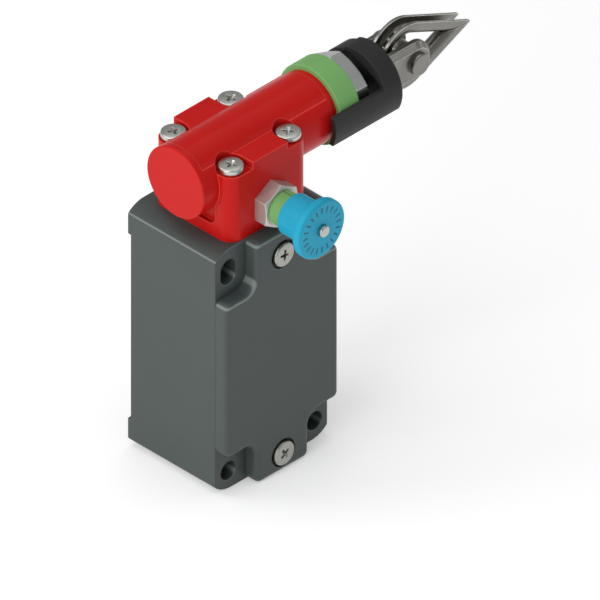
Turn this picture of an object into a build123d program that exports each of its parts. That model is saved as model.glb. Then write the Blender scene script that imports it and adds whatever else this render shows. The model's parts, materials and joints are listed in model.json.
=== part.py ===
from build123d import *
import os
from math import asin, atan2, cos, degrees, radians, sin, tan

os.makedirs("parts", exist_ok=True)

# Frame: X along the rope, away from the switch. Y from the front cover to the mounting wall.
# Z up. The origin lies on the mounting plane, midway between the two lower fixing holes.

# Clearances
joint_gap = 0.05        # between parts that are screwed or pushed together
running_gap = 0.08      # radial, shaft in its guide
free_gap = 0.3          # between parts that only pass each other
tip_room = 0.5          # a tapped hole beyond the tip of its screw

# Housing
housing_w = 39.0
housing_h = 72.4
housing_d = 30.5        # mounting pads to the cover joint
shoulder_drop = 2.2     # the sides stop this far short of top and bottom
shoulder_run = 5.6
side_edge_r = 1.1
pad_t = 1.0
pad_w = 10.4
pad_h = 8.3
back_wall_t = 2.5
side_wall_t = 2.6
top_wall_t = 2.5
floor_t = 9.0
cavity_r = 2.5

# Fixing holes
fixing_pitch_x = 30.0
fixing_pitch_z = 60.0
fixing_up = 5.4         # lower holes above the bottom of the housing
fixing_r = 2.65
fixing_slot_l = 7.3

# Conduit entry in the bottom
entry_r = 9.25
entry_from_back = 13.5
entry_chamfer = 0.8

# Cover
cover_t = 4.2
cover_edge_r = 1.4
notch_w = 10.4
notch_top_h = 13.7
notch_bottom_h = 12.7
notch_r = 4.0
notch_lip_r = 1.8
lip_t = 1.5
lip_w = 1.4
seal_w = 1.2
seal_t = 0.8
seal_margin = 0.6       # cavity edge to the seal

# Cover screws
cover_screw_head_r = 3.35
cover_screw_head_t = 2.0
cover_screw_proud = 0.7
cover_screw_r = 1.65
cover_screw_l = 9.5
cover_bore_r = 4.0
boss_w = 6.8
boss_end_t = 1.5        # boss behind the screw tip

# Head block
head_w = 27.7
head_corner_r = 4.0
head_h = 21.5
head_from_joint = 14.1  # centre of the head behind the cover joint
plinth_h = 3.5
panel_w = 16.8
panel_depth = 1.3
panel_r = 2.5

# Tube of the head, on the rope axis
rope_rise = 15.1        # rope axis above the housing
tube_r = 9.95
tube_right = 27.7
tube_cap_t = 2.05
tube_edge_r = 0.35
tube_bore_r = 7.1
seam_step = 0.2         # the top of the tube is slimmer, above the shelf
collar_l = 1.7
collar_step = 0.35
bush_thread_r = 8.0
bush_thread_l = 7.0
bush_pocket_r = 6.7
bush_web_l = 2.0        # plain wall between the spring and the hexagon

# Head screws
head_screw_pitch = 20.0
head_screw_head_r = 3.3
head_screw_head_t = 2.1
head_screw_r = 1.6
head_screw_l = 24.5
head_pocket_r = 3.9
head_screw_turns = (20, 65, 40, 10)
recess_r = 1.55         # cross recess in every screw
recess_arm = 0.75
recess_t = 1.0
rim_share = 0.35        # rounding of a screw head, of its height

# Seal under the head
head_seal_w = 1.2
head_seal_t = 0.8
head_seal_in = 4.3      # inner half width, round the plunger

# Index ring and guide bush on the tube end
ring_r = 11.0
ring_l = 6.8
ring_edge_r = 0.4
bush_af = 19.0
bush_hex_l = 4.5
bush_chamfer = 0.9
wiper_r = 6.0
wiper_l = 2.5

# Pull rod
rod_r = 4.0
rod_neck_r = 2.0
rod_travel = 12.8
piston_l = 3.0
piston_gap = 0.5        # plunger to piston, rope slack
stop_disc_r = 5.5
stop_disc_l = 1.5
stud_r = 3.0
stud_l = 3.2
main_spring_wire = 1.2
main_spring_turns = 6.0

# Indicator hood
hood_gap = 2.5          # guide bush to hood, rope slack
hood_wall_l = 6.0
hood_r = 10.75
hood_forward = 2.1
hood_disc_r = 9.4
hood_wall_t = 1.3
hood_tongue_l = 23.6    # tongue tip to the outer face
hood_low = 4.8
hood_high = 3.5
hood_recess_l = 2.5
hood_rib_top = 8.6      # the stiffening rib, at the middle
hood_rib_slope = 24.8
hood_edge_r = 0.6

# Clevis
clevis_w = 12.4
clevis_h = 10.9
clevis_slot = 7.0
clevis_bevel = 1.4
clevis_reach = 11.7     # hood face to the pin
clevis_base_l = 2.3
clevis_slot_floor = 0.4     # slot end, clear of the hood

# Clevis pin
pin_r = 2.5
pin_head_r = 3.05
pin_head_l = 1.35
pin_tail_l = 2.0
pin_groove_r = 1.9
pin_edge_r = 0.45
clip_play = 0.15        # clevis to clip groove
clip_t = 0.7
clip_r = 3.4
clip_open = 2.4
spacer_r = 5.4

# Thimble
thimble_r = 9.2
thimble_tip = 22.3
thimble_depth = 3.5
thimble_t = 0.8
thimble_w = 4.8
thimble_tip_gap = 0.15    # each leg clear of the other's side at the tip
window_w = 1.9
window_angle = 14.0
window_step = 23.0
window_count = 7

# Reset unit: distances run from the front face of the head
reset_down = 8.1        # reset axis below the rope axis
nut_af = 11.0
nut_t = 4.1
nut_chamfer = 0.6
neck_r = 3.6
neck_l = 7.6
neck_bore_r = 2.9
neck_lip_l = 1.0
sleeve_r = 4.6
sleeve_l = 7.4
sleeve_split = 0.35
sleeve_split_angle = 30.0
knob_neck_r = 5.6
knob_gap = 3.9          # nut face to knob, switch reset
knob_l = 10.0
knob_flange_r = 8.15
knob_flange_l = 2.5
knob_face_t = 2.0
knob_blend_r = 1.2
knob_edge_r = 0.7
reset_travel = 3.5
reset_shaft_r = 1.6
reset_tip = 1.3
reset_tip_r = 0.5
reset_collar_r = 2.8
reset_collar_l = 1.0
reset_spring_wire = 0.5
reset_spring_turns = 5.5

# Trip plunger and its cam blade
cam_slope = 0.5         # plunger drop per unit of reset travel
plunger_r = 2.5
plunger_tip_r = 1.2
plunger_tip_l = 2.0
blade_w = 2.4
blade_t = 2.0
blade_gap = 0.15
blade_end = 0.6
blade_drop = 1.2        # root of the blade below the reset axis

# Contact block
block_w = 26.0
block_h = 32.5
block_d = 21.0
block_edge_r = 1.0
terminal_room = 4.5     # width of the terminal pockets, beside the chamber
chamber_d = 10.0
chamber_margin = 4.0
slide_r = 2.4
slide_cap_r = 3.2
slide_cap_t = 1.5
bridge_pitch = 12.0
bridge_drop = 8.0       # upper bridge below the top of the chamber
bridge_t = 1.0
bridge_w = 5.0
bridge_waist = 0.9      # narrower on each side where it passes the slide
bridge_end_gap = 0.6
contact_lap = 1.4       # fixed strip clear of the slide, past the bridge's half width
strip_t = 1.0
strip_w = 5.0
strip_inset = 0.4       # metal parts behind the faces of the block
terminal_screw_r = 1.3
terminal_head_r = 2.5
terminal_head_t = 1.6
terminal_bite = 3.5     # screw length in the block
terminal_over = 1.2     # free height above the screw head
washer_t = 0.8
washer_w = 5.6
contact_spring_wire = 0.6
contact_spring_room = 3.2   # left under the slide when the switch has tripped
contact_spring_turns = 4.0
spring_floor_t = 1.0
small_recess_t = 0.7    # cross recess of the smallest screws

# Earth terminal and block screws
earth_in = 5.4          # from the side of the wide cavity
earth_up = 3.9          # above the lower edge of the wide cavity
earth_boss_r = 3.4
earth_boss_l = 4.0
earth_screw_r = 1.65
earth_head_r = 2.9
earth_head_t = 1.8
earth_hole_end = 1.0    # tapped hole into the back wall
earth_recess_t = 0.9
block_screw_r = 1.3
block_screw_head_r = 2.3
block_screw_head_t = 1.5
block_screw_in = 3.0    # from the sides of the block
block_foot_t = 4.0      # block under the screw heads
block_screw_bite = 1.2  # screw length in the back wall

# Places worked out from the sizes
bottom = -fixing_up
top = bottom + housing_h
joint_y = -housing_d
front_y = joint_y - cover_t
cavity_back = -(pad_t + back_wall_t)
head_y = joint_y + head_from_joint
head_front = head_y - head_w / 2
shelf_z = top + head_h
rope_z = top + rope_rise
reset_z = rope_z - reset_down
floor_z = bottom + floor_t
wide_low = bottom + notch_bottom_h + side_wall_t
wide_high = top - notch_top_h - side_wall_t
wide_x = housing_w / 2 - side_wall_t
earth_x = wide_x - earth_in
chamber_w = block_w - 2 * terminal_room
narrow_x = housing_w / 2 - notch_w - (side_wall_t - 0.2)
entry_y = -entry_from_back
bush_face = tube_right + ring_l + bush_hex_l
hood_back = bush_face + hood_gap
hood_face = hood_back + hood_wall_l
pin_x = hood_face + clevis_reach
plunger_drop = reset_travel * cam_slope
piston_x = plunger_r + piston_gap
disc_x = -(plunger_r + free_gap + rod_travel)
bore_left = disc_x - stop_disc_l - free_gap
tube_left = bore_left - tube_cap_t
spring_end = bush_face - bush_hex_l - bush_web_l
screw_z = (0.0, fixing_pitch_z)
reset_frame = Pos(0, head_front, reset_z) * Rot(0, 0, -90)
rope_frame = Pos(0, head_y, rope_z)


def slab_y(sketch, y_back, y_front):
    """Push an X-Z sketch forward from y_back to y_front."""
    return extrude(Pos(0, y_back, 0) * (Plane.XZ * sketch), y_back - y_front)


def slab_x(sketch, x0, x1):
    """Push a Y-Z sketch from x0 to x1."""
    return extrude(Pos(x0, 0, 0) * (Plane.YZ * sketch), x1 - x0)


def slab_z(sketch, z0, z1):
    """Push an X-Y sketch from z0 to z1."""
    return extrude(Pos(0, 0, z0) * sketch, z1 - z0)


def turned(*points):
    """Revolve a half section of (along, radius) points about the X axis."""
    return revolve(make_face(Polyline(*points, close=True)), Axis.X)


def rod_x(r, x0, x1):
    return turned((x0, 0), (x1, 0), (x1, r), (x0, r))


def rod_y(r, y_back, y_front, x, z):
    return slab_y(Pos(x, z) * Circle(r), y_back, y_front)


def rod_z(r, z0, z1, x=0, y=0):
    return slab_z(Pos(x, y) * Circle(r), z0, z1)


def block(x0, x1, y0, y1, z0, z1):
    """A plain box between two corners."""
    centre = Pos((x0 + x1) / 2, (y0 + y1) / 2, (z0 + z1) / 2)
    return centre * Box(x1 - x0, y1 - y0, z1 - z0)


def span(z0, z1, width):
    """An upright rectangle of an X-Z sketch, centred on X."""
    return Pos(0, (z0 + z1) / 2) * Rectangle(width, z1 - z0)


def cross_recess(depth):
    """Cross cut, standing on Z 0 and reaching down by depth."""
    arm = Rectangle(2 * recess_r, recess_arm)
    cross = arm + Rot(0, 0, 90) * arm + Rectangle(2 * recess_arm, 2 * recess_arm)
    return slab_z(cross, -depth, depth)


def screw(head_r, head_t, shank_r, shank_l, depth):
    """Pan-head screw, head top at Z 0, shank down."""
    head = rod_z(head_r, -head_t, 0)
    head = fillet(head.edges().group_by(Axis.Z)[-1], head_t * rim_share)
    shank = rod_z(shank_r, -head_t - shank_l, -head_t)
    shank = chamfer(shank.edges().group_by(Axis.Z)[0], shank_r * 0.3)
    return head + shank - cross_recess(depth)


def coil(mean_r, wire_r, length, turns):
    """Round-wire coil spring along X from 0 to its length, wire ends inside it."""
    pitch = (length - 2 * wire_r) / turns
    path = Helix(pitch=pitch, height=pitch * turns, radius=mean_r)
    start = Plane(origin=path @ 0, z_dir=path % 0)
    spring = sweep(start * Circle(wire_r), path=path)
    return Rot(0, 90, 0) * (Pos(0, 0, wire_r) * spring)


def housing_outline():
    """Front view of the housing: flat top and bottom, falling away to the sides."""
    x = housing_w / 2
    inner = x - shoulder_run
    lines = [Line((-inner, top), (inner, top)), Line((-inner, bottom), (inner, bottom))]
    for side in (-1, 1):
        high = (side * x, top - shoulder_drop)
        low = (side * x, bottom + shoulder_drop)
        lines.append(TangentArc((side * inner, top), high, tangent=(side, 0)))
        lines.append(TangentArc((side * inner, bottom), low, tangent=(side, 0)))
        lines.append(Line(high, low))
    face = make_face(lines)
    corners = [v for v in face.vertices() if abs(abs(v.X) - x) < 0.01]
    return fillet(corners, side_edge_r)


def cavity_outline(grow=0.0):
    """Front view of the hollow, between the fixing-hole columns."""
    narrow = span(floor_z - grow, top - top_wall_t + grow, 2 * (narrow_x + grow))
    wide = span(wide_low - grow, wide_high + grow, 2 * (wide_x + grow))
    shape = narrow + wide
    return fillet(shape.vertices(), cavity_r)


def fixing_centres():
    for side in (-1, 1):
        for up in screw_z:
            yield side * fixing_pitch_x / 2, up


def corner_boxes(w, h_low, h_high):
    """Four rectangles in the corners of the front view."""
    x = housing_w / 2 - w / 2
    shape = None
    for side in (-1, 1):
        low = Pos(side * x, bottom + h_low / 2) * Rectangle(w, h_low)
        high = Pos(side * x, top - h_high / 2) * Rectangle(w, h_high)
        shape = low + high if shape is None else shape + low + high
    return shape


def make_housing():
    outline = housing_outline()
    body = slab_y(outline, -pad_t, joint_y)
    body += slab_y(outline & corner_boxes(pad_w, pad_h, pad_h), 0, -pad_t)
    body -= slab_y(cavity_outline(), cavity_back, joint_y)
    boss_low = fixing_pitch_z - boss_w / 2
    boss_back = joint_y + cover_screw_depth() + boss_end_t
    body += block(-boss_w / 2, boss_w / 2, joint_y, boss_back, boss_low, top - top_wall_t)
    for x, z in fixing_centres():
        hole = Pos(x, z) * Circle(fixing_r)
        if z > 0:
            hole = Pos(x, z) * Rot(0, 0, 90) * SlotOverall(fixing_slot_l, 2 * fixing_r)
        body -= slab_y(hole, 0, joint_y)
    body -= rod_z(entry_r, bottom, floor_z, 0, entry_y)
    body -= Pos(0, entry_y, bottom) * Cone(
        entry_r + entry_chamfer, entry_r, entry_chamfer, align=(Align.CENTER, Align.CENTER, Align.MIN))
    for z in screw_z:
        body -= rod_y(cover_screw_r + joint_gap, joint_y + cover_screw_depth() + tip_room, joint_y, 0, z)
    body -= rod_z(plunger_r + running_gap, top - top_wall_t, top, 0, head_y)
    depth = head_screw_reach() + tip_room
    for x, y in head_screw_centres():
        body -= rod_z(head_screw_r + joint_gap, top - depth, top, x, y)
    body += rod_y(earth_boss_r, cavity_back, cavity_back - earth_boss_l, -earth_x, earth_z())
    earth_low = cavity_back + earth_hole_end
    body -= rod_y(earth_screw_r + joint_gap, earth_low, cavity_back - earth_boss_l, -earth_x, earth_z())
    for x, z in block_screw_centres():
        body -= rod_y(block_screw_r + joint_gap, cavity_back + block_screw_bite + free_gap, cavity_back, x, z)
    return body


def earth_z():
    return wide_low + earth_up


def cover_screw_seat():
    """Where the cover screw heads sit, as a place along Y."""
    return front_y - cover_screw_proud + cover_screw_head_t


def cover_screw_depth():
    """How far the cover screws reach behind the cover joint."""
    return cover_screw_seat() + cover_screw_l - joint_y


def cover_outline():
    shape = housing_outline() - corner_boxes(notch_w, notch_bottom_h, notch_top_h)
    inner_x = housing_w / 2 - notch_w
    inner = [v for v in shape.vertices() if is_notch_corner(v, inner_x)]
    shape = fillet(inner, notch_r)
    outer = [v for v in shape.vertices() if is_notch_end(v, inner_x)]
    return fillet(outer, notch_lip_r)


def is_notch_corner(v, inner_x):
    heights = (bottom + notch_bottom_h, top - notch_top_h)
    return abs(abs(v.X) - inner_x) < 0.01 and min(abs(v.Y - h) for h in heights) < 0.01


def is_notch_end(v, inner_x):
    heights = (bottom + notch_bottom_h, top - notch_top_h)
    on_end = min(abs(v.Y - bottom), abs(v.Y - top)) < 0.01 and abs(abs(v.X) - inner_x) < 0.01
    on_side = abs(abs(v.X) - housing_w / 2) < 0.01 and min(abs(v.Y - h) for h in heights) < 0.01
    return on_end or on_side


def seal_ring():
    outer = cavity_outline(seal_margin + seal_w)
    return outer - cavity_outline(seal_margin)


def make_cover():
    body = slab_y(cover_outline(), joint_y, front_y)
    body = fillet(body.faces().sort_by(Axis.Y)[0].edges(), cover_edge_r)
    lip = cavity_outline(-free_gap) - cavity_outline(-free_gap - lip_w)
    lip -= span(fixing_pitch_z - boss_w / 2 - free_gap, top, boss_w + 2 * free_gap)
    body += slab_y(lip, joint_y + lip_t, joint_y)
    body -= slab_y(seal_ring(), joint_y, joint_y - seal_t)
    for z in screw_z:
        body -= rod_y(cover_screw_r + 2 * joint_gap, joint_y, front_y, 0, z)
        body -= rod_y(cover_bore_r, cover_screw_seat(), front_y, 0, z)
    return body


def make_cover_screws():
    one = screw(cover_screw_head_r, cover_screw_head_t, cover_screw_r, cover_screw_l, recess_t)
    one = Rot(90, 0, 0) * one
    return [Pos(0, front_y - cover_screw_proud, z) * Rot(0, 25 + z, 0) * one for z in screw_z]


def head_screw_centres():
    half = head_screw_pitch / 2
    for sx in (-1, 1):
        for sy in (-1, 1):
            yield sx * half, head_y + sy * half


def head_screw_seat():
    return shelf_z - head_screw_head_t


def head_screw_reach():
    """How far the head screws reach below the top of the housing."""
    return top - (head_screw_seat() - head_screw_l)


def seal_frame(half_in, width):
    side = 2 * (half_in + width)
    return Rectangle(side, side) - Rectangle(2 * half_in, 2 * half_in)


def make_head():
    base = Pos(0, head_y) * RectangleRounded(head_w, head_w, head_corner_r)
    body = slab_z(base, top, shelf_z)
    low = top + plinth_h
    half = head_w / 2
    high = shelf_z + panel_r
    panel = Pos(head_y, (low + high) / 2) * RectangleRounded(panel_w, high - low, panel_r)
    body -= slab_x(panel, -half, -half + panel_depth)
    body -= slab_x(panel, half - panel_depth, half)
    body += make_tube()
    for x, y in head_screw_centres():
        out = half if y > head_y else -half
        y0, y1 = sorted((y, head_y + 2 * out))
        body -= rod_z(head_pocket_r, head_screw_seat(), shelf_z + tube_r, x, y)
        body -= block(x - head_pocket_r, x + head_pocket_r, y0, y1, head_screw_seat(), shelf_z + tube_r)
        body -= rod_z(head_screw_r + 2 * joint_gap, top, shelf_z, x, y)
    body -= rope_frame * rod_x(tube_bore_r, bore_left, tube_right)
    body -= rope_frame * rod_x(bush_thread_r + joint_gap, tube_right - bush_thread_l - tip_room, tube_right)
    body -= rod_z(plunger_r + running_gap, top, rope_z, 0, head_y)
    cam_back = head_y + blade_reach() + reset_travel + free_gap
    cam_low = blade_z(-blade_tail()) - blade_t / 2 / cos(cam_angle()) - free_gap
    cam_half = blade_w / 2 + free_gap
    body -= block(-cam_half, cam_half, head_front + wall_front(), cam_back, cam_low, rope_z)
    body -= reset_frame * rod_x(neck_r + joint_gap, -wall_front(), 0)
    body -= reset_frame * rod_x(reset_shaft_r + free_gap, -wall_front() - reset_travel - free_gap, 0)
    seal = Pos(0, head_y) * seal_frame(head_seal_in, head_seal_w)
    return body - slab_z(seal, top, top + head_seal_t)


def make_tube():
    """The solid tube of the head, with a step along both sides at the height of the shelf."""
    tube = rod_x(tube_r, tube_left, tube_right)
    tube = fillet(tube.edges().group_by(Axis.X)[0], tube_edge_r)
    around = tube_r + 1
    collar = tube_right - collar_l
    tube -= rod_x(around, collar, tube_right) - rod_x(tube_r - collar_step, collar, tube_right)
    slim = rod_x(tube_r - seam_step, tube_left + tube_cap_t, collar)
    upper = block(tube_left, collar, -around, around, shelf_z - rope_z, around)
    tube -= (rod_x(around, tube_left + tube_cap_t, collar) - slim) & upper
    return rope_frame * tube


def make_head_seal():
    return slab_z(Pos(0, head_y) * seal_frame(head_seal_in, head_seal_w), top, top + head_seal_t)


def make_head_screws():
    one = screw(head_screw_head_r, head_screw_head_t, head_screw_r, head_screw_l, recess_t)
    places = zip(head_screw_centres(), head_screw_turns)
    return [Pos(x, y, shelf_z) * Rot(0, 0, turn) * one for (x, y), turn in places]


def make_index_ring():
    ring = turned(
        (tube_right, bush_thread_r + 2 * joint_gap),
        (tube_right + ring_l, bush_thread_r + 2 * joint_gap),
        (tube_right + ring_l, ring_r),
        (tube_right, ring_r))
    ring = fillet(ring.edges().filter_by(GeomType.CIRCLE).sort_by(SortBy.RADIUS)[-2:], ring_edge_r)
    return rope_frame * ring


def make_guide_bush():
    back = bush_face - bush_hex_l
    across = bush_af / 2 / cos(radians(30))
    hexagon = Rot(0, 0, 30) * RegularPolygon(across, 6)
    nut = slab_x(hexagon, back, bush_face)
    dome = turned(
        (back, 0), (bush_face, 0), (bush_face, bush_af / 2 - 0.1),
        (bush_face - bush_chamfer, across + 0.05), (back, across + 0.05))
    nut = nut & dome
    nut += rod_x(bush_thread_r, tube_right - bush_thread_l, back)
    nut -= rod_x(rod_r + running_gap, tube_right - bush_thread_l, bush_face)
    nut -= rod_x(wiper_r, bush_face - wiper_l, bush_face)
    nut -= rod_x(bush_pocket_r, tube_right - bush_thread_l, spring_end)
    return rope_frame * nut


def make_wiper():
    ring = turned(
        (bush_face - wiper_l, rod_r + running_gap),
        (bush_face, rod_r + running_gap),
        (bush_face, wiper_r),
        (bush_face - wiper_l, wiper_r))
    return rope_frame * ring


def make_rod():
    shoulder = hood_back + hood_recess_l
    disc_left = disc_x - stop_disc_l
    points = [
        (disc_left, 0), (disc_left, stop_disc_r), (disc_x, stop_disc_r), (disc_x, rod_neck_r),
        (piston_x, rod_neck_r), (piston_x, tube_bore_r - running_gap),
        (piston_x + piston_l, tube_bore_r - running_gap), (piston_x + piston_l, rod_r),
        (shoulder, rod_r), (shoulder, stud_r), (shoulder + stud_l, stud_r), (shoulder + stud_l, 0)]
    return rope_frame * turned(*points)


def make_main_spring():
    start = piston_x + piston_l
    length = spring_end - start - 2 * joint_gap
    mean = (bush_pocket_r + rod_r) / 2
    spring = coil(mean, main_spring_wire / 2, length, main_spring_turns)
    return rope_frame * Pos(start + joint_gap, 0, 0) * spring


def hood_area(r, y_shift=0.0):
    return Pos(-hood_forward + y_shift, 0) * Circle(r)


def half_plane(y0, y1, z0, z1):
    return Pos((y0 + y1) / 2, (z0 + z1) / 2) * Rectangle(y1 - y0, z1 - z0)


def make_hood():
    big = 3 * hood_r
    front_part = hood_area(hood_r) & half_plane(-big, hood_forward, -hood_low, big)
    wall = front_part + Circle(hood_disc_r)
    body = slab_x(wall, hood_back, hood_face)
    body = fillet(body.faces().sort_by(Axis.X)[-1].edges(), hood_edge_r)
    shell = hood_area(hood_r) - hood_area(hood_r - hood_wall_t)
    tongue = shell & half_plane(-big, -hood_forward, -hood_low, hood_high)
    body += slab_x(tongue, hood_face - hood_tongue_l, hood_back)
    hollow = hood_area(hood_r - hood_wall_t) & half_plane(-big, hood_forward, -hood_low + hood_wall_t, big)
    hollow += Circle(hood_disc_r - hood_wall_t)
    above_rib = Rot(0, 0, hood_rib_slope) * Pos(0, big / 2) * Rectangle(2 * big, big)
    rib = Pos(-hood_forward, hood_rib_top) * above_rib
    body -= slab_x(hollow - rib, hood_back, hood_back + hood_recess_l)
    body -= rod_x(stud_r + joint_gap, hood_back, hood_face)
    pocket = Rectangle(clevis_w + 2 * joint_gap, clevis_h + 2 * joint_gap)
    body -= slab_x(pocket, hood_face - clevis_base_l, hood_face)
    return rope_frame * body


def make_clevis():
    base = hood_face - clevis_base_l
    end_r = clevis_h / 2
    side = Pos((base + pin_x) / 2, 0) * Rectangle(pin_x - base, clevis_h) + Pos(pin_x, 0) * Circle(end_r)
    body = slab_y(side, clevis_w / 2, -clevis_w / 2)
    outer = [f for f in body.faces() if abs(abs(f.center().Y) - clevis_w / 2) < 0.01]
    edges = []
    for face in outer:
        edges += [e for e in face.edges() if e.center().X > base + 0.1]
    body = chamfer(edges, clevis_bevel)
    slot_floor = hood_face + clevis_slot_floor
    body -= block(slot_floor, pin_x + end_r + 1, -clevis_slot / 2, clevis_slot / 2, -clevis_h, clevis_h)
    body -= rod_y(pin_r + joint_gap, clevis_w, -clevis_w, pin_x, 0)
    body -= rod_x(stud_r + joint_gap, base, base + stud_l)
    return rope_frame * body


def make_pin():
    half = clevis_w / 2
    groove = half + clip_play
    pin = turned(
        (-half - pin_head_l, 0), (-half - pin_head_l, pin_head_r), (-half, pin_head_r), (-half, pin_r),
        (groove, pin_r), (groove, pin_groove_r), (groove + clip_t + 2 * joint_gap, pin_groove_r),
        (groove + clip_t + 2 * joint_gap, pin_r), (half + pin_tail_l, pin_r), (half + pin_tail_l, 0))
    rim = pin.edges().filter_by(GeomType.CIRCLE).group_by(Axis.X)[0]
    pin = fillet(rim, pin_edge_r)
    return rope_frame * Pos(pin_x, 0, 0) * Rot(0, 0, 90) * pin


def make_clip():
    start = clevis_w / 2 + clip_play + joint_gap
    ring = Circle(clip_r) - Circle(pin_groove_r + joint_gap)
    ring -= Pos(0, -clip_r / 2) * Rectangle(clip_open, clip_r + 0.1)
    return rope_frame * slab_y(Pos(pin_x, 0) * ring, start + clip_t, start)


def make_spacer():
    half = clevis_slot / 2 - free_gap
    ring = Circle(spacer_r) - Circle(pin_r + joint_gap)
    return rope_frame * slab_y(Pos(pin_x, 0) * ring, half, -half)


def thimble_section():
    """Half pipe in X-Y: X is the distance from the pin, Y runs across the rope."""
    half = thimble_w / 2
    centre = thimble_r - thimble_depth + half
    rise = thimble_r - centre
    outer = Pos(centre) * Circle(half) + Pos(centre + rise / 2) * Rectangle(rise, thimble_w)
    groove = half - thimble_t
    inner = Pos(centre) * Circle(groove) + Pos(centre + rise) * Rectangle(2 * rise, 2 * groove)
    return (outer - inner) & (Pos(thimble_r / 2) * Rectangle(thimble_r, thimble_w))


def make_thimble():
    slope = degrees(asin(thimble_r / thimble_tip))
    bend = revolve(Rot(0, 90 - slope, 0) * thimble_section(), Axis.Y, 180 + 2 * slope)
    along = (cos(radians(slope)), 0, -sin(radians(slope)))
    leg = extrude(Rot(0, slope - 90, 0) * thimble_section(), thimble_tip, dir=along)
    size = 2 * thimble_tip
    leg -= block(0, size, -thimble_w, thimble_w, -size, thimble_tip_gap)
    body = bend + leg + mirror(leg, about=Plane.XY)
    inner_r = thimble_r - thimble_depth
    reach = inner_r + thimble_w / 2
    first = 180 - window_step * (window_count - 1) / 2
    wide = 2 * reach * tan(radians(window_angle / 2))
    bar = block(inner_r - free_gap, reach, -window_w / 2, window_w / 2, -wide / 2, wide / 2)
    for i in range(window_count):
        body -= Rot(0, -(first + i * window_step), 0) * bar
    return rope_frame * Pos(pin_x, 0, 0) * body


def wall_front():
    """Thickness of the head wall that holds the reset bush."""
    return head_w / 2 - blade_tail() - free_gap


def cam_angle():
    return atan2(cam_slope, 1)


def blade_reach():
    """Blade ahead of the plunger axis, at rest."""
    return plunger_r + blade_end


def blade_tail():
    """Blade behind the plunger axis, at rest."""
    return plunger_r + reset_travel + blade_end


def blade_z(y):
    """Blade centre height at a distance y behind the plunger axis."""
    return reset_z - blade_drop + cam_slope * (y + blade_tail())


def blade_profile(y0, y1, extra=0.0):
    half = (blade_t / 2 + extra) / cos(cam_angle())
    return make_face(Polyline(
        (head_y + y0, blade_z(y0) - half), (head_y + y1, blade_z(y1) - half),
        (head_y + y1, blade_z(y1) + half), (head_y + y0, blade_z(y0) + half), close=True))


def make_reset_bush():
    back = -wall_front()
    tip = nut_t + neck_l
    across = nut_af / 2 / cos(radians(30))
    nut = slab_x(Rot(0, 0, 30) * RegularPolygon(across, 6), 0, nut_t)
    dome = turned(
        (0, 0), (nut_t, 0), (nut_t, nut_af / 2 - 0.1), (nut_t - nut_chamfer, across + 0.05),
        (0, across + 0.05))
    nut = nut & dome
    nut += rod_x(neck_r, back, tip)
    nut -= rod_x(neck_bore_r, back, tip - neck_lip_l)
    nut -= rod_x(reset_shaft_r + running_gap, tip - neck_lip_l, tip)
    return reset_frame * nut


def make_sleeve():
    ring = turned(
        (nut_t, neck_r + joint_gap), (nut_t + sleeve_l, neck_r + joint_gap),
        (nut_t + sleeve_l, sleeve_r), (nut_t, sleeve_r))
    split = block(nut_t - 1, nut_t + sleeve_l + 1, -sleeve_split / 2, sleeve_split / 2, 0, sleeve_r + 1)
    return reset_frame * (ring - Rot(-sleeve_split_angle, 0, 0) * split)


def make_knob():
    start = nut_t + knob_gap
    face = start + knob_l
    flange = face - knob_flange_l
    body = rod_x(knob_neck_r, start, flange + 0.5) + rod_x(knob_flange_r, flange, face)
    rims = body.edges().filter_by(GeomType.CIRCLE)
    outer = [e for e in rims if abs(e.radius - knob_flange_r) < 0.01]
    body = fillet(outer, knob_edge_r)
    blend = [e for e in body.edges().filter_by(GeomType.CIRCLE)
             if abs(e.radius - knob_neck_r) < 0.01 and abs(e.center().X - flange) < 0.01]
    body = fillet(blend, knob_blend_r)
    body -= rod_x(sleeve_r + 2 * running_gap, start, face - knob_face_t)
    body -= rod_x(reset_shaft_r + joint_gap, start, face)
    return reset_frame * body


def make_reset_shaft():
    face = nut_t + knob_gap + knob_l
    tail = head_w / 2 - blade_tail()
    shaft = turned(
        (-tail, 0), (face + reset_tip, 0), (face + reset_tip, reset_shaft_r),
        (reset_collar_l, reset_shaft_r), (reset_collar_l, reset_collar_r),
        (0, reset_collar_r), (0, reset_shaft_r), (-tail, reset_shaft_r))
    tip = shaft.edges().filter_by(GeomType.CIRCLE).group_by(Axis.X)[-1]
    return reset_frame * fillet(tip, reset_tip_r)


def make_cam_blade():
    profile = blade_profile(-blade_tail(), blade_reach())
    return slab_x(profile, -blade_w / 2, blade_w / 2)


def make_plunger():
    high = rope_z - rod_neck_r - free_gap
    low = slide_top() + joint_gap
    body = turned(
        (low, 0), (low, plunger_r), (high - plunger_tip_l, plunger_r),
        (high, plunger_tip_r), (high, 0))
    body = Pos(0, head_y, 0) * Rot(0, -90, 0) * body
    window = blade_profile(-plunger_r - 1, plunger_r + 1, blade_gap)
    body -= slab_x(window, -blade_w / 2 - blade_gap, blade_w / 2 + blade_gap)
    return body


def block_low():
    return earth_z() + earth_boss_r + free_gap


def block_top():
    return block_low() + block_h


def chamber_top():
    return block_top() - chamber_margin


def chamber_low():
    return bridge_levels()[1] - plunger_drop - 2 * free_gap


def slide_top():
    """Top of the contact slide, just under the trip plunger."""
    return block_top() + slide_cap_t + plunger_drop + 2 * free_gap


def bridge_levels():
    high = chamber_top() - bridge_drop
    return high, high - bridge_pitch


def block_screw_centres():
    for side in (-1, 1):
        yield side * (block_w / 2 - block_screw_in), block_low() + block_h / 2


def block_front():
    return cavity_back - block_d


def chamber_back():
    return head_y + chamber_d / 2


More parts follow.
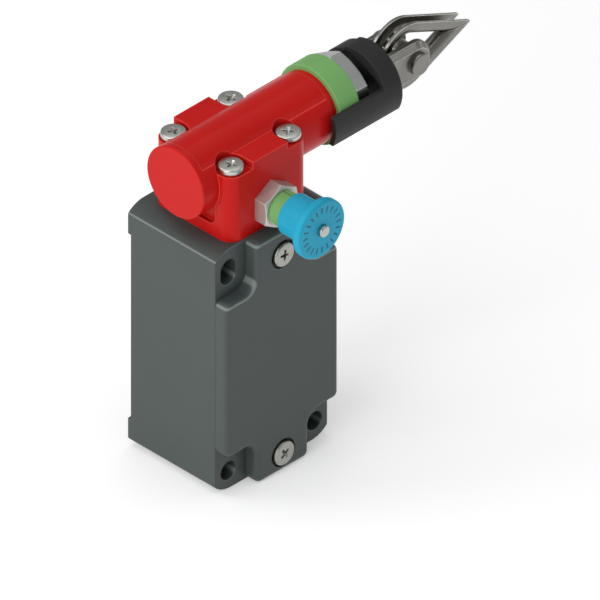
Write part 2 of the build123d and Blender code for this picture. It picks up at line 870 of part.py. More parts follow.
def make_contact_block():
    back = cavity_back
    body = block(-block_w / 2, block_w / 2, block_front(), back, block_low(), block_top())
    body = fillet(body.edges().filter_by(Axis.Y), block_edge_r)
    body -= block(-chamber_w / 2, chamber_w / 2, block_front(), chamber_back(), chamber_low(), chamber_top())
    body -= rod_z(slide_r + running_gap, chamber_top(), block_top(), 0, head_y)
    body -= rod_z(slide_r + running_gap, spring_floor(), chamber_low(), 0, head_y)
    for z in bridge_levels():
        for side in (-1, 1):
            x0, x1 = sorted((side * chamber_w / 2, side * (block_w / 2 + 1)))
            low = strip_low(z)
            body -= block(x0, x1, block_front(), head_y + strip_w / 2 + joint_gap, low, low + strip_room())
            hole_end = low - terminal_bite - tip_room
            body -= rod_z(terminal_screw_r + joint_gap, hole_end, low, terminal_x(side), terminal_y())
    for x, z in block_screw_centres():
        body -= rod_y(block_screw_r + 2 * joint_gap, back, block_front(), x, z)
        body -= rod_y(block_screw_head_r + free_gap, block_screw_seat(), block_front(), x, z)
    return body


def spring_floor():
    return block_low() + spring_floor_t


def strip_low(bridge_z):
    """Underside of the fixed strips, just above the bridge at rest."""
    return bridge_z + bridge_t + joint_gap


def strip_room():
    return strip_t + washer_t + terminal_head_t + terminal_over


def terminal_x(side):
    return side * (chamber_w + terminal_room) / 2


def terminal_y():
    return block_front() + washer_w / 2 + strip_inset


def block_screw_seat():
    return cavity_back - block_foot_t


def make_fixed_strips():
    strips = []
    for z in bridge_levels():
        for side in (-1, 1):
            x0, x1 = sorted((side * (bridge_w / 2 + contact_lap), side * (block_w / 2 - strip_inset)))
            low = strip_low(z)
            bar = block(x0, x1, block_front() + strip_inset, head_y + strip_w / 2, low, low + strip_t)
            bar -= rod_z(terminal_screw_r + joint_gap, low, low + strip_t, terminal_x(side), terminal_y())
            strips.append(bar)
    return strips


def make_terminal_washers():
    washers = []
    for z in bridge_levels():
        for side in (-1, 1):
            low = strip_low(z) + strip_t
            room = terminal_room - 2 * strip_inset
            plate = block(-room / 2, room / 2, -washer_w / 2, washer_w / 2, 0, washer_t)
            plate -= rod_z(terminal_screw_r + joint_gap, 0, washer_t)
            washers.append(Pos(terminal_x(side), terminal_y(), low) * plate)
    return washers


def make_terminal_screws():
    head_r = min(terminal_head_r, terminal_room / 2 - strip_inset / 2)
    one = screw(head_r, terminal_head_t, terminal_screw_r, washer_t + strip_t + terminal_bite, small_recess_t)
    screws = []
    for z in bridge_levels():
        for side in (-1, 1):
            seat = strip_low(z) + strip_t + washer_t
            screws.append(Pos(terminal_x(side), terminal_y(), seat + terminal_head_t) * one)
    return screws


def make_slide():
    high = slide_top()
    low = spring_floor() + contact_spring_room + plunger_drop
    body = rod_z(slide_r, low, high, 0, head_y) + rod_z(slide_cap_r, high - slide_cap_t, high, 0, head_y)
    for z in bridge_levels():
        half_y = bridge_w / 2 - bridge_waist
        low, high = z - joint_gap, z + bridge_t + joint_gap
        body -= block(-bridge_w, bridge_w, head_y - half_y, head_y + half_y, low, high)
    return body


def make_bridges():
    bars = []
    half_x = chamber_w / 2 - bridge_end_gap
    half_y = bridge_w / 2 - bridge_waist - joint_gap
    for z in bridge_levels():
        bars.append(block(-half_x, half_x, head_y - half_y, head_y + half_y, z, z + bridge_t))
    return bars


def make_contact_spring():
    room = contact_spring_room + plunger_drop - 2 * joint_gap
    mean = slide_r - contact_spring_wire / 2 - 0.1
    spring = coil(mean, contact_spring_wire / 2, room, contact_spring_turns)
    return Pos(0, head_y, spring_floor() + joint_gap) * Rot(0, -90, 0) * spring


def make_reset_spring():
    start = reset_collar_l + joint_gap
    length = nut_t + neck_l - neck_lip_l - start - joint_gap
    mean = (reset_shaft_r + neck_bore_r) / 2
    return reset_frame * Pos(start, 0, 0) * coil(mean, reset_spring_wire / 2, length, reset_spring_turns)


def make_earth_screw():
    one = screw(earth_head_r, earth_head_t, earth_screw_r, earth_boss_l + earth_hole_end / 2, earth_recess_t)
    return Pos(-earth_x, cavity_back - earth_boss_l - earth_head_t, earth_z()) * Rot(90, 0, 0) * one


def make_block_screws():
    shank_l = block_foot_t + block_screw_bite
    one = screw(block_screw_head_r, block_screw_head_t, block_screw_r, shank_l, small_recess_t)
    one = Rot(90, 0, 0) * one
    return [Pos(x, block_screw_seat() - block_screw_head_t, z) * one for x, z in block_screw_centres()]


def save(name, shape):
    """Write one named node; a list becomes a group of separate solids."""
    if isinstance(shape, list):
        shape = Compound(children=[s.solid() if hasattr(s, "solid") else s for s in shape])
    shape.label = name
    export_step(shape, os.path.join("parts", name + ".step"))


save("housing", make_housing())
save("front_cover", make_cover())
save("cover_seal", slab_y(seal_ring(), joint_y, joint_y - seal_t))
save("cover_screws", make_cover_screws())
save("head", make_head())
save("head_seal", make_head_seal())
save("head_screws", make_head_screws())
save("index_ring", make_index_ring())
save("guide_bush", make_guide_bush())
save("rod_wiper", make_wiper())
save("main_spring", make_main_spring())
save("pull_rod", make_rod())
save("indicator_hood", make_hood())
save("clevis", make_clevis())
save("clevis_pin", make_pin())
save("pin_clip", make_clip())
save("pin_spacer", make_spacer())
save("thimble", make_thimble())
save("reset_bush", make_reset_bush())
save("reset_sleeve", make_sleeve())
save("reset_spring", make_reset_spring())
save("reset_knob", make_knob())
save("reset_shaft", make_reset_shaft())
save("cam_blade", make_cam_blade())
save("trip_plunger", make_plunger())
save("contact_block", make_contact_block())
save("contact_slide", make_slide())
save("contact_bridges", make_bridges())
save("contact_spring", make_contact_spring())
save("fixed_strips", make_fixed_strips())
save("terminal_washers", make_terminal_washers())
save("terminal_screws", make_terminal_screws())
save("earth_screw", make_earth_screw())
save("block_screws", make_block_screws())
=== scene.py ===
import json
import math
import bpy
from mathutils import Euler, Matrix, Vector


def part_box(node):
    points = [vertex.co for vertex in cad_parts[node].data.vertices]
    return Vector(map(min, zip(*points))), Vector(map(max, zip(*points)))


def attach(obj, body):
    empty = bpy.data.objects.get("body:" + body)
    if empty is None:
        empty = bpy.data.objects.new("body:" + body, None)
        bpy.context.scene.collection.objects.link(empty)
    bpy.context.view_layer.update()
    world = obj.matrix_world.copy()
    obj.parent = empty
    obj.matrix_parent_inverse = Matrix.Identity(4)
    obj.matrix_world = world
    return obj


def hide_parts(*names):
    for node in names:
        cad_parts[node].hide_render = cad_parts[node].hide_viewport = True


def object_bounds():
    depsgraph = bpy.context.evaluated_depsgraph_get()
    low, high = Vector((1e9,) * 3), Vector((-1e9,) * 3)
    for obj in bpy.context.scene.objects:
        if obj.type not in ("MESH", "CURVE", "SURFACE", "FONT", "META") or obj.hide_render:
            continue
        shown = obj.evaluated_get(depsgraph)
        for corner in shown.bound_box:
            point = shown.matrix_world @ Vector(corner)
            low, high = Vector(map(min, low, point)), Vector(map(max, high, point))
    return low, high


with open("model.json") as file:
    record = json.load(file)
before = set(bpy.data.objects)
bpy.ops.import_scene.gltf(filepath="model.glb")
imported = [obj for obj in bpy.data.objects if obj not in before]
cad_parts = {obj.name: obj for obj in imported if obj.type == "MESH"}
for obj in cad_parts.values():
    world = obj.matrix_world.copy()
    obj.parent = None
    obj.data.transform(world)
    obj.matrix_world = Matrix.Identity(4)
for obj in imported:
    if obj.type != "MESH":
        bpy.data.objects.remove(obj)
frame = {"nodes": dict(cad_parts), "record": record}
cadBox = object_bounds()
nodes = frame["nodes"]
print("frame loaded:", len(nodes), "nodes")


# Node trees

def newFinish(name):
    finish = bpy.data.materials.new(name)
    finish.use_nodes = True
    tree = finish.node_tree
    tree.nodes.clear()
    output = tree.nodes.new("ShaderNodeOutputMaterial")
    shader = tree.nodes.new("ShaderNodeBsdfPrincipled")
    tree.links.new(shader.outputs["BSDF"], output.inputs["Surface"])
    return finish, tree, shader


def objectPlace(tree, stretch=(1, 1, 1), origin=(0, 0, 0)):  # drawn out where stretch is small
    place = tree.nodes.new("ShaderNodeTexCoord")
    mapping = tree.nodes.new("ShaderNodeMapping")
    mapping.inputs["Location"].default_value = [-value for value in origin]
    mapping.inputs["Scale"].default_value = stretch
    tree.links.new(place.outputs["Object"], mapping.inputs["Vector"])
    return mapping.outputs["Vector"]


def noiseAt(tree, place, scale, detail=3.0):
    noise = tree.nodes.new("ShaderNodeTexNoise")
    noise.inputs["Scale"].default_value = scale
    noise.inputs["Detail"].default_value = detail
    tree.links.new(place, noise.inputs["Vector"])
    return noise.outputs["Fac"]


def ramp(tree, factor, low, high, first, second):  # a smooth step from first to second
    node = tree.nodes.new("ShaderNodeMapRange")
    node.interpolation_type = "SMOOTHSTEP"
    node.inputs["From Min"].default_value = low
    node.inputs["From Max"].default_value = high
    node.inputs["To Min"].default_value = first
    node.inputs["To Max"].default_value = second
    tree.links.new(factor, node.inputs["Value"])
    return node.outputs["Result"]


def maths(tree, operation, first, second=0.0):  # each value is a number or the output of another node
    node = tree.nodes.new("ShaderNodeMath")
    node.operation = operation
    for socket, value in zip(node.inputs, (first, second)):
        if isinstance(value, (int, float)):
            socket.default_value = value
        else:
            tree.links.new(value, socket)
    return node.outputs["Value"]


def window(tree, value, low, high, edge):  # 1 between low and high, 0 outside, with soft edges
    rising = ramp(tree, value, low - edge, low + edge, 0.0, 1.0)
    falling = ramp(tree, value, high - edge, high + edge, 1.0, 0.0)
    return maths(tree, "MULTIPLY", rising, falling)


def roundAxis(tree, origin, across, along):  # radius, angle and distance along an axis through origin
    parts = tree.nodes.new("ShaderNodeSeparateXYZ")
    tree.links.new(objectPlace(tree, origin=origin), parts.inputs["Vector"])
    first, second = parts.outputs[across[0]], parts.outputs[across[1]]
    firstSquare = maths(tree, "MULTIPLY", first, first)
    secondSquare = maths(tree, "MULTIPLY", second, second)
    radius = maths(tree, "SQRT", maths(tree, "ADD", firstSquare, secondSquare))
    return radius, maths(tree, "ARCTAN2", second, first), parts.outputs[along]


def mixColours(tree, factor, first, second):
    mix = tree.nodes.new("ShaderNodeMix")
    mix.data_type = "RGBA"
    tree.links.new(factor, mix.inputs[0])
    for socket, colour in ((mix.inputs[6], first), (mix.inputs[7], second)):
        if isinstance(colour, tuple):
            socket.default_value = colour + (1.0,)
        else:
            tree.links.new(colour, socket)
    return mix.outputs[2]


def mottle(tree, cloud, spread, look):  # the two close tones of a finish, in soft clouds
    factor = ramp(tree, cloud, 0.5 - spread, 0.5 + spread, 0.0, 1.0)
    return mixColours(tree, factor, look["shade"], look["colour"])


def roughen(tree, shader, source, spread, look):  # roughness follows the noise, from roughLow to roughHigh
    rough = ramp(tree, source, 0.5 - spread, 0.5 + spread, look["roughLow"], look["roughHigh"])
    tree.links.new(rough, shader.inputs["Roughness"])


def roundedNormal(tree, radius):  # softens the edges of a machined or cast form
    bevel = tree.nodes.new("ShaderNodeBevel")
    bevel.samples = 6
    bevel.inputs["Radius"].default_value = radius
    return bevel.outputs["Normal"]


def edgeMask(tree, normal):  # 1 along edges, 0 on flat faces; the finishes paint their edge highlights through it
    geometry = tree.nodes.new("ShaderNodeNewGeometry")
    dot = tree.nodes.new("ShaderNodeVectorMath")
    dot.operation = "DOT_PRODUCT"
    tree.links.new(normal, dot.inputs[0])
    tree.links.new(geometry.outputs["Normal"], dot.inputs[1])
    return ramp(tree, dot.outputs["Value"], 0.90, 0.995, 1.0, 0.0)


def bumpFrom(tree, height, depth, normal=None):
    bump = tree.nodes.new("ShaderNodeBump")
    bump.inputs["Strength"].default_value = 1.0
    bump.inputs["Distance"].default_value = depth
    tree.links.new(height, bump.inputs["Height"])
    if normal is not None:
        tree.links.new(normal, bump.inputs["Normal"])
    return bump.outputs["Normal"]


def srgb(red, green, blue):  # a colour read as 0 to 255, as linear light
    def channel(value):
        value /= 255
        return value / 12.92 if value <= 0.04045 else ((value + 0.055) / 1.055) ** 2.4
    return channel(red), channel(green), channel(blue)


# Finishes

# rim is the painted highlight colour, laid on rounded edges whose normal height lies between upperLow and
# upperHigh
castingPaint = {
    "colour": srgb(71, 79, 77), "shade": srgb(68, 76, 74), "rim": srgb(124, 133, 130),
    "specular": 0.3, "grainScale": 1500, "grainDepth": 0.00002, "cloudScale": 70, "roughLow": 0.42,
    "roughHigh": 0.5, "edge": 0.0006, "upperLow": 0.25, "upperHigh": 0.62, "upperEdge": 0.08,
    "threadAxis": (0, -0.0135, 0), "threadR": 0.00925, "threadTop": 0.0027, "threadPitch": 0.0015,
    "threadDepth": 0.0005, "threadMetal": srgb(176, 178, 176), "threadIn": 0.0006,
    "threadOut": 0.00015, "threadEdge": 0.00005, "threadFade": 0.0003}


def makeCastingPaint():  # fine grained paint with a painted highlight on the rounded edges that face half up, and bare metal where the cable entry is tapped
    look = castingPaint
    finish, tree, shader = newFinish("castingPaint")
    place = objectPlace(tree)
    cloud = noiseAt(tree, place, look["cloudScale"])
    grain = noiseAt(tree, place, look["grainScale"], 2.0)
    soft = roundedNormal(tree, look["edge"])
    mottled = mottle(tree, cloud, 0.15, look)
    upward = tree.nodes.new("ShaderNodeSeparateXYZ")  # painted highlight: the rounded edges that face half up are painted lighter, in the rim colour
    tree.links.new(soft, upward.inputs["Vector"])
    highlitUpperEdges = window(tree, upward.outputs["Z"], look["upperLow"], look["upperHigh"], look["upperEdge"])
    paintedEdgeHighlight = mixColours(tree, highlitUpperEdges, mottled, look["rim"])
    radius, angle, height = roundAxis(tree, look["threadAxis"], ("X", "Y"), "Z")
    inner, outer = look["threadR"] - look["threadIn"], look["threadR"] + look["threadOut"]
    inBore = window(tree, radius, inner, outer, look["threadEdge"])
    below = ramp(tree, height, look["threadTop"] - look["threadFade"], look["threadTop"], 1.0, 0.0)
    tapped = maths(tree, "MULTIPLY", inBore, below)
    rise = maths(tree, "DIVIDE", height, look["threadPitch"])
    turns = maths(tree, "ADD", rise, maths(tree, "DIVIDE", angle, math.tau))
    ridge = maths(tree, "SINE", maths(tree, "MULTIPLY", turns, math.tau))
    cut = maths(tree, "MULTIPLY", ridge, tapped)
    thread = maths(tree, "MULTIPLY", cut, look["threadDepth"] / look["grainDepth"])
    tree.links.new(mixColours(tree, tapped, paintedEdgeHighlight, look["threadMetal"]), shader.inputs["Base Color"])
    tree.links.new(tapped, shader.inputs["Metallic"])
    roughen(tree, shader, cloud, 0.2, look)
    surface = maths(tree, "ADD", grain, thread)
    tree.links.new(bumpFrom(tree, surface, look["grainDepth"], soft), shader.inputs["Normal"])
    shader.inputs["Specular IOR Level"].default_value = look["specular"]
    return finish


# rim is the painted highlight red laid along every edge
headPaint = {
    "colour": srgb(200, 26, 23), "shade": srgb(196, 24, 21), "rim": srgb(255, 86, 78),
    "specular": 0.1, "peelScale": 520, "peelDepth": 0.000008, "cloudScale": 60, "roughLow": 0.28,
    "roughHigh": 0.31, "edge": 0.0004, "coat": 0.04, "coatRough": 0.12}


def makeHeadPaint():
    look = headPaint
    finish, tree, shader = newFinish("headPaint")
    place = objectPlace(tree)
    cloud = noiseAt(tree, place, look["cloudScale"])
    peel = noiseAt(tree, place, look["peelScale"], 1.5)
    soft = roundedNormal(tree, look["edge"])
    mottled = mottle(tree, cloud, 0.15, look)
    # painted highlight: every edge is painted in the lighter rim red
    paintedEdgeHighlight = mixColours(tree, edgeMask(tree, soft), mottled, look["rim"])
    tree.links.new(paintedEdgeHighlight, shader.inputs["Base Color"])
    roughen(tree, shader, cloud, 0.2, look)
    tree.links.new(bumpFrom(tree, peel, look["peelDepth"], soft), shader.inputs["Normal"])
    shader.inputs["Specular IOR Level"].default_value = look["specular"]
    shader.inputs["Coat Weight"].default_value = look["coat"]
    shader.inputs["Coat Roughness"].default_value = look["coatRough"]
    return finish


def makeMetal(name, look):  # turned, drawn or pressed metal: fine lines along one way, and edges painted lighter as a painted highlight
    finish, tree, shader = newFinish(name)
    lines = noiseAt(tree, objectPlace(tree, look["stretch"]), look["lineScale"], 4.0)
    cloud = noiseAt(tree, objectPlace(tree), look["cloudScale"])
    soft = roundedNormal(tree, look["edge"])
    # painted highlight: edges are painted in the lighter rim colour
    bright = mixColours(tree, edgeMask(tree, soft), mottle(tree, cloud, 0.2, look), look["rim"])
    tree.links.new(bright, shader.inputs["Base Color"])
    roughen(tree, shader, lines, 0.25, look)
    tree.links.new(bumpFrom(tree, lines, look["lineDepth"], soft), shader.inputs["Normal"])
    shader.inputs["Metallic"].default_value = 1.0
    return finish


zincScrew = {
    "colour": srgb(204, 204, 198), "shade": srgb(190, 191, 185), "rim": srgb(240, 240, 236),
    "stretch": (1, 1, 1), "lineScale": 900, "lineDepth": 0.0000005, "cloudScale": 300,
    "roughLow": 0.28, "roughHigh": 0.36, "edge": 0.0001}
# painted shade: a darker copy of the screw zinc for the cover screws, to dull the bright floor they reflect
shadedCoverZinc = {
    "colour": srgb(168, 168, 162), "shade": srgb(156, 157, 151), "rim": srgb(226, 226, 222),
    "stretch": (1, 1, 1), "lineScale": 900, "lineDepth": 0.0000005, "cloudScale": 300,
    "roughLow": 0.28, "roughHigh": 0.36, "edge": 0.0001}
plainNut = {
    "colour": srgb(206, 204, 198), "shade": srgb(196, 194, 188), "rim": srgb(240, 240, 236),
    "stretch": (1, 1, 1), "lineScale": 900, "lineDepth": 0.000001, "cloudScale": 200, "roughLow": 0.5,
    "roughHigh": 0.6, "edge": 0.0003}
satinSteel = {
    "colour": srgb(136, 135, 130), "shade": srgb(127, 126, 121), "rim": srgb(240, 240, 236),
    "stretch": (0.06, 1, 1), "lineScale": 900, "lineDepth": 0.0000001, "cloudScale": 180,
    "roughLow": 0.27, "roughHigh": 0.32, "edge": 0.0004}
brightRod = {
    "colour": srgb(196, 196, 192), "shade": srgb(184, 184, 180), "rim": srgb(232, 232, 228),
    "stretch": (0.05, 1, 1), "lineScale": 1500, "lineDepth": 0.000001, "cloudScale": 150,
    "roughLow": 0.16, "roughHigh": 0.24, "edge": 0.0002}
springWire = {
    "colour": srgb(150, 152, 152), "shade": srgb(128, 130, 131), "rim": srgb(190, 191, 190),
    "stretch": (1, 1, 1), "lineScale": 1600, "lineDepth": 0.000003, "cloudScale": 240,
    "roughLow": 0.22, "roughHigh": 0.36, "edge": 0.0001}
nickelBush = {
    "colour": srgb(190, 194, 191), "shade": srgb(182, 186, 183), "rim": srgb(228, 230, 227),
    "stretch": (1, 0.08, 1), "lineScale": 900, "lineDepth": 0.000001, "cloudScale": 120,
    "roughLow": 0.28, "roughHigh": 0.36, "edge": 0.0003}
contactBrass = {
    "colour": srgb(214, 178, 96), "shade": srgb(192, 154, 78), "rim": srgb(235, 208, 138),
    "stretch": (0.1, 1, 1), "lineScale": 1500, "lineDepth": 0.000002, "cloudScale": 260,
    "roughLow": 0.2, "roughHigh": 0.36, "edge": 0.0001}


throughDepth = (0.0006, 0.0006, 0.0006)  # how far light goes into the plastic, for red, green and blue


def makePlastic(name, look):  # moulded plastic: one colour through, with a fine eroded texture and a painted highlight on its edges
    finish, tree, shader = newFinish(name)
    place = objectPlace(tree)
    cloud = noiseAt(tree, place, look["cloudScale"])
    grain = noiseAt(tree, place, look["grainScale"], 2.0)
    soft = roundedNormal(tree, look["edge"])
    # painted highlight: edges are painted in the lighter rim colour
    tone = mixColours(tree, edgeMask(tree, soft), mottle(tree, cloud, 0.2, look), look["rim"])
    surface = grain
    if "tickColour" in look:  # plain ticks sunk round the face, like the marks of a dial
        radius, angle, height = roundAxis(tree, look["tickAxis"], ("X", "Z"), "Y")
        wave = maths(tree, "COSINE", maths(tree, "MULTIPLY", angle, look["tickCount"]))
        bars = ramp(tree, wave, look["tickLow"], look["tickHigh"], 0.0, 1.0)
        ring = window(tree, radius, look["tickInner"], look["tickOuter"], look["tickEdge"])
        onFace = ramp(tree, height, 0.0, look["tickDeep"], 1.0, 0.0)
        ticks = maths(tree, "MULTIPLY", bars, maths(tree, "MULTIPLY", ring, onFace))
        tone = mixColours(tree, ticks, tone, look["tickColour"])
        surface = maths(tree, "SUBTRACT", grain, maths(tree, "MULTIPLY", ticks, look["tickBump"]))
    tree.links.new(tone, shader.inputs["Base Color"])
    roughen(tree, shader, grain, 0.2, look)
    tree.links.new(bumpFrom(tree, surface, look["grainDepth"], soft), shader.inputs["Normal"])
    shader.inputs["Specular IOR Level"].default_value = look["specular"]
    shader.inputs["Subsurface Weight"].default_value = look["through"]
    shader.inputs["Subsurface Radius"].default_value = throughDepth
    return finish


greenIndex = {
    "colour": srgb(122, 178, 104), "shade": srgb(118, 174, 100), "rim": srgb(146, 196, 128),
    "cloudScale": 90, "grainScale": 2400, "grainDepth": 0.000006, "roughLow": 0.46, "roughHigh": 0.56,
    "edge": 0.0002, "through": 0.1, "specular": 0.35}
blueKnob = {
    "colour": srgb(24, 166, 200), "shade": srgb(20, 160, 194), "rim": srgb(60, 186, 216),
    "cloudScale": 90, "grainScale": 2300, "grainDepth": 0.000006, "roughLow": 0.44, "roughHigh": 0.54,
    "edge": 0.0003, "through": 0.1, "specular": 0.3, "tickAxis": (0, -0.04825, 0.074),
    "tickCount": 20, "tickInner": 0.0049, "tickOuter": 0.0066, "tickDeep": 0.0004, "tickBump": 20,
    "tickColour": srgb(14, 96, 122), "tickLow": 0.68, "tickHigh": 0.80, "tickEdge": 0.0001}
blackHood = {
    "colour": srgb(42, 42, 42), "shade": srgb(39, 39, 39), "rim": srgb(66, 66, 65), "cloudScale": 80,
    "grainScale": 2000, "grainDepth": 0.000008, "roughLow": 0.46, "roughHigh": 0.56, "edge": 0.0003,
    "through": 0.0, "specular": 0.25}
blockPlastic = {
    "colour": srgb(58, 66, 74), "shade": srgb(50, 58, 66), "rim": srgb(82, 90, 98), "cloudScale": 80,
    "grainScale": 1800, "grainDepth": 0.00001, "roughLow": 0.5, "roughHigh": 0.62, "edge": 0.0002,
    "through": 0.0, "specular": 0.4}
slidePlastic = {
    "colour": srgb(226, 224, 214), "shade": srgb(214, 212, 202), "rim": srgb(236, 234, 226),
    "cloudScale": 90, "grainScale": 2200, "grainDepth": 0.000006, "roughLow": 0.42, "roughHigh": 0.52,
    "edge": 0.0002, "through": 0.15, "specular": 0.4}
sealRubber = {
    "colour": srgb(38, 38, 38), "shade": srgb(31, 31, 31), "rim": srgb(50, 50, 50), "cloudScale": 200,
    "grainScale": 1500, "grainDepth": 0.00002, "roughLow": 0.66, "roughHigh": 0.8, "edge": 0.0001,
    "through": 0.0, "specular": 0.3}

finishes = {
    "housing_paint": makeCastingPaint(),
    "head_paint": makeHeadPaint(),
    "bright_steel": makeMetal("brightRod", brightRod),
    "satin_steel": makeMetal("satinSteel", satinSteel),
    "spring_steel": makeMetal("springWire", springWire),
    "bush_metal": makeMetal("nickelBush", nickelBush),
    "contact_brass": makeMetal("contactBrass", contactBrass),
    "green_plastic": makePlastic("greenIndex", greenIndex),
    "blue_plastic": makePlastic("blueKnob", blueKnob),
    "black_plastic": makePlastic("blackHood", blackHood),
    "block_plastic": makePlastic("blockPlastic", blockPlastic),
    "slide_plastic": makePlastic("slidePlastic", slidePlastic),
    "seal_rubber": makePlastic("sealRubber", sealRubber),
}
zincFinish = makeMetal("zincScrew", zincScrew)
# painted shade: the darkened zinc copy used on the cover screws
shadedCoverFinish = makeMetal("shadedCoverZinc", shadedCoverZinc)
nutFinish = makeMetal("plainNut", plainNut)
screwNodes = ("cover_screws", "head_screws", "terminal_screws", "earth_screw", "block_screws")
for part in frame["record"]["subparts"]:
    piece = nodes[part["node"]]
    piece.data.materials.clear()
    finish = finishes[part["material_slot"]]
    if part["node"] in screwNodes:
        finish = zincFinish
    if part["node"] == "reset_bush":
        finish = nutFinish
    piece.data.materials.append(finish)
print("finishes laid on", len(nodes), "nodes")


# Cross recess screws, modelled with their heads

coverScrew = {
    "headR": 0.00335, "headT": 0.0020, "rim": 0.00042, "shankR": 0.00165, "shankL": 0.0095, "armR": 0.0016,
    "armW": 0.00084, "armDeep": 0.0015, "armEnd": 0.45, "armLift": 0.00002, "tip": 0.1, "tipSize": 0.6,
    "turns": (35, 85)}
headScrew = {
    "headR": 0.0033, "headT": 0.0018, "rim": 0.00042, "shankR": 0.0016, "shankL": 0.0245,
    "armR": 0.0016, "armW": 0.00084, "armDeep": 0.0013, "armEnd": 0.45, "armLift": 0.00002,
    "tip": 0.1, "tipSize": 0.6, "sunk": 0.0003, "turns": (20, 65, 40, 10)}


def addModifier(piece, kind, **settings):
    modifier = piece.modifiers.new(kind, kind)
    for name, value in settings.items():
        setattr(modifier, name, value)
    bpy.ops.object.select_all(action="DESELECT")
    piece.select_set(True)
    bpy.context.view_layer.objects.active = piece
    bpy.ops.object.modifier_apply(modifier=modifier.name)


def pickFaces(piece, wanted):  # selects the faces that wanted says yes to, and goes to edit mode
    bpy.ops.object.select_all(action="DESELECT")
    piece.select_set(True)
    bpy.context.view_layer.objects.active = piece
    bpy.ops.object.mode_set(mode="EDIT")
    bpy.ops.mesh.select_mode(type="FACE")
    bpy.ops.mesh.select_all(action="DESELECT")
    bpy.ops.object.mode_set(mode="OBJECT")
    for face in piece.data.polygons:
        face.select = wanted(face)
    bpy.ops.object.mode_set(mode="EDIT")


def makeArm(look, turn):  # one bar of the cross, narrower at its foot
    bpy.ops.object.select_all(action="DESELECT")
    middle = (0, 0, -look["armDeep"] / 2 + look["armLift"])
    bpy.ops.mesh.primitive_cube_add(size=1, location=middle, rotation=(0, 0, math.radians(turn)))
    arm = bpy.context.object
    arm.scale = (2 * look["armR"], look["armW"], look["armDeep"])
    bpy.ops.object.transform_apply(location=True, rotation=True, scale=True)
    pickFaces(arm, lambda face: face.normal.z < -0.5)
    bpy.ops.transform.resize(value=(look["armEnd"], look["armEnd"], 1))
    bpy.ops.object.mode_set(mode="OBJECT")
    return arm


def makeScrew(look):  # head top at the origin, shank down -Z
    bpy.ops.object.select_all(action="DESELECT")
    bpy.ops.mesh.primitive_cylinder_add(
        vertices=64, radius=look["headR"], depth=look["headT"], location=(0, 0, -look["headT"] / 2))
    screw = bpy.context.object
    bpy.ops.object.transform_apply(location=True, rotation=True, scale=True)
    pickFaces(screw, lambda face: face.normal.z < -0.5)
    bpy.ops.mesh.inset(thickness=look["headR"] - look["shankR"])
    for share in (1 - look["tip"], look["tip"]):
        bpy.ops.mesh.extrude_region_move(TRANSFORM_OT_translate={"value": (0, 0, -share * look["shankL"])})
    bpy.ops.transform.resize(value=(look["tipSize"], look["tipSize"], 1))
    bpy.ops.object.mode_set(mode="OBJECT")
    steep = math.radians(80)
    addModifier(screw, "BEVEL", width=look["rim"], segments=3, limit_method="ANGLE", angle_limit=steep)
    for turn in (0, 90):
        arm = makeArm(look, turn)
        addModifier(screw, "BOOLEAN", operation="DIFFERENCE", solver="EXACT", object=arm)
        bpy.data.objects.remove(arm, do_unlink=True)
    return screw


def placeScrews(name, look, node, places, tilt, finish):  # copies of one screw, joined to stand for the node
    first = makeScrew(look)
    copies = [first]
    while len(copies) < len(places):
        other = first.copy()
        other.data = first.data.copy()
        bpy.context.scene.collection.objects.link(other)
        copies.append(other)
    bpy.ops.object.select_all(action="DESELECT")
    for screw, place, turn in zip(copies, places, look["turns"]):
        screw.rotation_mode = "QUATERNION"
        spun = Euler((0, 0, math.radians(turn))).to_quaternion()
        screw.rotation_quaternion = Euler((math.radians(tilt), 0, 0)).to_quaternion() @ spun
        screw.location = place
        screw.select_set(True)
    bpy.context.view_layer.objects.active = first
    bpy.ops.object.transform_apply(location=True, rotation=True, scale=True)
    bpy.ops.object.join()
    bpy.ops.object.shade_smooth_by_angle(angle=math.radians(35))
    first.name = name
    first.data.materials.clear()
    first.data.materials.append(finish)
    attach(first, "switch")
    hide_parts(node)


coverLow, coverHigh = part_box("cover_screws")
screwX = (coverLow.x + coverHigh.x) / 2
heights = (coverLow.z + coverScrew["headR"], coverHigh.z - coverScrew["headR"])
coverPlaces = [(screwX, coverLow.y, z) for z in heights]
placeScrews("coverScrewSet", coverScrew, "cover_screws", coverPlaces, 90, shadedCoverFinish)
headLow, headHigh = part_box("head_screws")
columns = (headLow.x + headScrew["headR"], headHigh.x - headScrew["headR"])
rows = (headLow.y + headScrew["headR"], headHigh.y - headScrew["headR"])
headPlaces = [(x, y, headHigh.z - headScrew["sunk"]) for x in columns for y in rows]
placeScrews("headScrewSet", headScrew, "head_screws", headPlaces, 0, zincFinish)
print("screws modelled and placed")


# Copies of three CAD pieces: head with open screw seats, sleeve turned to show its slit, slimmer spacer

def mergedCopy(node, name):  # stands for the node, with its loose triangles joined up
    bpy.ops.object.select_all(action="DESELECT")
    piece = nodes[node].copy()
    piece.data = piece.data.copy()
    bpy.context.scene.collection.objects.link(piece)
    piece.name = name
    piece.parent = None
    piece.matrix_world.identity()
    piece.select_set(True)
    bpy.context.view_layer.objects.active = piece
    bpy.ops.mesh.customdata_custom_splitnormals_clear()
    bpy.ops.object.mode_set(mode="EDIT")
    bpy.ops.mesh.select_all(action="SELECT")
    bpy.ops.mesh.remove_doubles(threshold=0.000001)
    bpy.ops.mesh.normals_make_consistent(inside=False)
    bpy.ops.object.mode_set(mode="OBJECT")
    return piece


def finishCopy(piece, node, body):
    bpy.ops.object.select_all(action="DESELECT")
    piece.select_set(True)
    bpy.context.view_layer.objects.active = piece
    bpy.ops.object.shade_smooth_by_angle(angle=math.radians(30))
    addModifier(piece, "WEIGHTED_NORMAL", mode="FACE_AREA", keep_sharp=True)
    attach(piece, body)
    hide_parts(node)


screwSeats = {  # skin is what is left on the seat, so that no two faces lie in one plane
    "outside": 0.0141, "inside": 0.0128, "back": 0.004, "high": 0.0024, "skin": 0.00003, "tubeR": 0.00998,
    "tubeL": 0.05, "tubeSides": 128}


